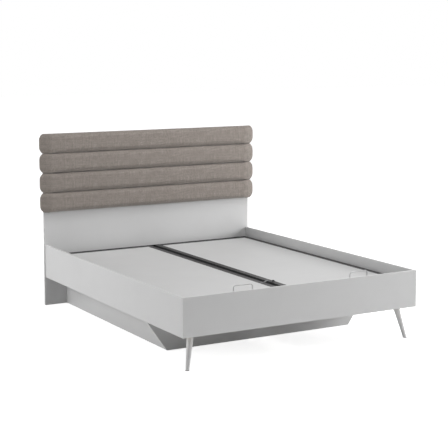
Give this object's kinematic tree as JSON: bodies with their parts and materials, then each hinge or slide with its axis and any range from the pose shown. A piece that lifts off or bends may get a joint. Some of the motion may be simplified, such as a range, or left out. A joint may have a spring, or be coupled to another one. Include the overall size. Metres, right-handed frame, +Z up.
{
  "type": "double bed",
  "caption": "Double bed with a panel headboard padded with horizontal rolls, plain board sides, slanted tapered legs, and a lift-up base in two metal frames over a storage box.",
  "frame": {"origin": "on the floor, in the middle of the bed's outline", "axes": "+X to the bed's right as seen from its foot end, +Y towards the headboard, +Z up"},
  "size_m": [1.7244, 2.062, 1.2098],
  "materials": {
    "laminate": "pale grey satin laminate on chipboard",
    "platform_laminate": "pale grey matt laminate",
    "fabric": "coarse melange upholstery weave, taupe",
    "plywood": "raw plywood",
    "timber": "planed softwood",
    "hardboard": "pale lacquered hardboard",
    "leg_paint": "pale grey satin paint on turned wood",
    "plastic": "grey moulded plastic",
    "frame_enamel": "dark grey powder coat",
    "pale_enamel": "pale grey powder coat",
    "black": "black paint",
    "zinc": "zinc-plated steel",
    "chrome": "hard-chromed, polished"
  },
  "bodies": {
    "bed_frame": {"headboard_panel": "laminate", "foot_rail": "laminate", "box_front": "laminate", "floor_bearer": "laminate", "side_rail_left": "laminate", "side_rail_right": "laminate", "box_side_left": "laminate", "box_side_right": "laminate", "headboard_roll_1": "fabric", "headboard_roll_2": "fabric", "headboard_roll_3": "fabric", "headboard_roll_4": "fabric", "roll_board_1": "plywood", "roll_board_2": "plywood", "roll_board_3": "plywood", "roll_board_4": "plywood", "foot_ledge": "timber", "corner_block_left": "timber", "corner_block_right": "timber", "floor_cleat_left": "timber", "floor_cleat_right": "timber", "side_ledge_left": "timber", "side_ledge_right": "timber", "floor_panel_left": "hardboard", "floor_panel_right": "hardboard", "leg_left": "leg_paint", "leg_right": "leg_paint", "glide_left": "plastic", "glide_right": "plastic", "head_ledge": "frame_enamel", "head_angle_left": "zinc", "head_angle_right": "zinc", "leg_plate_left": "zinc", "leg_plate_right": "zinc", "rail_bracket_left": "zinc", "rail_bracket_right": "zinc"},
    "platform": {"joining_strap": "frame_enamel", "joining_plate": "frame_enamel", "joining_bolt": "black", "platform_frame_left": "frame_enamel", "platform_frame_right": "frame_enamel", "platform_panel_left": "platform_laminate", "platform_panel_right": "platform_laminate", "mattress_stop_left": "pale_enamel", "mattress_stop_right": "pale_enamel", "frame_bracket_left": "zinc", "frame_bracket_right": "zinc"},
    "front_arms": {"front_arm_left": "zinc", "front_arm_right": "zinc"},
    "rear_arms": {"rear_arm_left": "zinc", "rear_arm_right": "zinc"},
    "strut_cylinders": {"strut_cylinder_left": "black", "strut_cylinder_right": "black"},
    "strut_rods": {"strut_rod_left": "chrome", "strut_rod_right": "chrome"}
  },
  "joints": [
    {"name": "front_arm_turn", "type": "hinge", "parent": "bed_frame", "child": "front_arms", "pos_m": [0, 0.43, 0.24], "axis": [1, 0, 0], "range_deg": [0, 52]},
    {"name": "platform_tilt", "type": "hinge", "parent": "front_arms", "child": "platform", "pos_m": [0, 0.681, 0.318], "axis": [-1, 0, 0], "range_deg": [0, 87.1]},
    {"name": "rear_arm_turn", "type": "hinge", "parent": "bed_frame", "child": "rear_arms", "pos_m": [0, 0.322, 0.228], "axis": [1, 0, 0], "range_deg": [0, 46.28]},
    {"name": "strut_turn", "type": "hinge", "parent": "bed_frame", "child": "strut_cylinders", "pos_m": [0, 0.672, 0.224], "axis": [-1, 0, 0], "range_deg": [0, 1.21]},
    {"name": "strut_slide", "type": "slide", "parent": "strut_cylinders", "child": "strut_rods", "axis": [0, -0.9442, 0.3294], "range_m": [0, 0.09875]}
  ],
  "couplings": [
    {"joint": "platform_tilt", "follows": "front_arm_turn", "ratio": 1.675},
    {"joint": "rear_arm_turn", "follows": "front_arm_turn", "ratio": 0.89},
    {"joint": "strut_turn", "follows": "front_arm_turn", "ratio": 0.02331},
    {"joint": "strut_slide", "follows": "front_arm_turn", "m_per_rad": 0.10881}
  ]
}
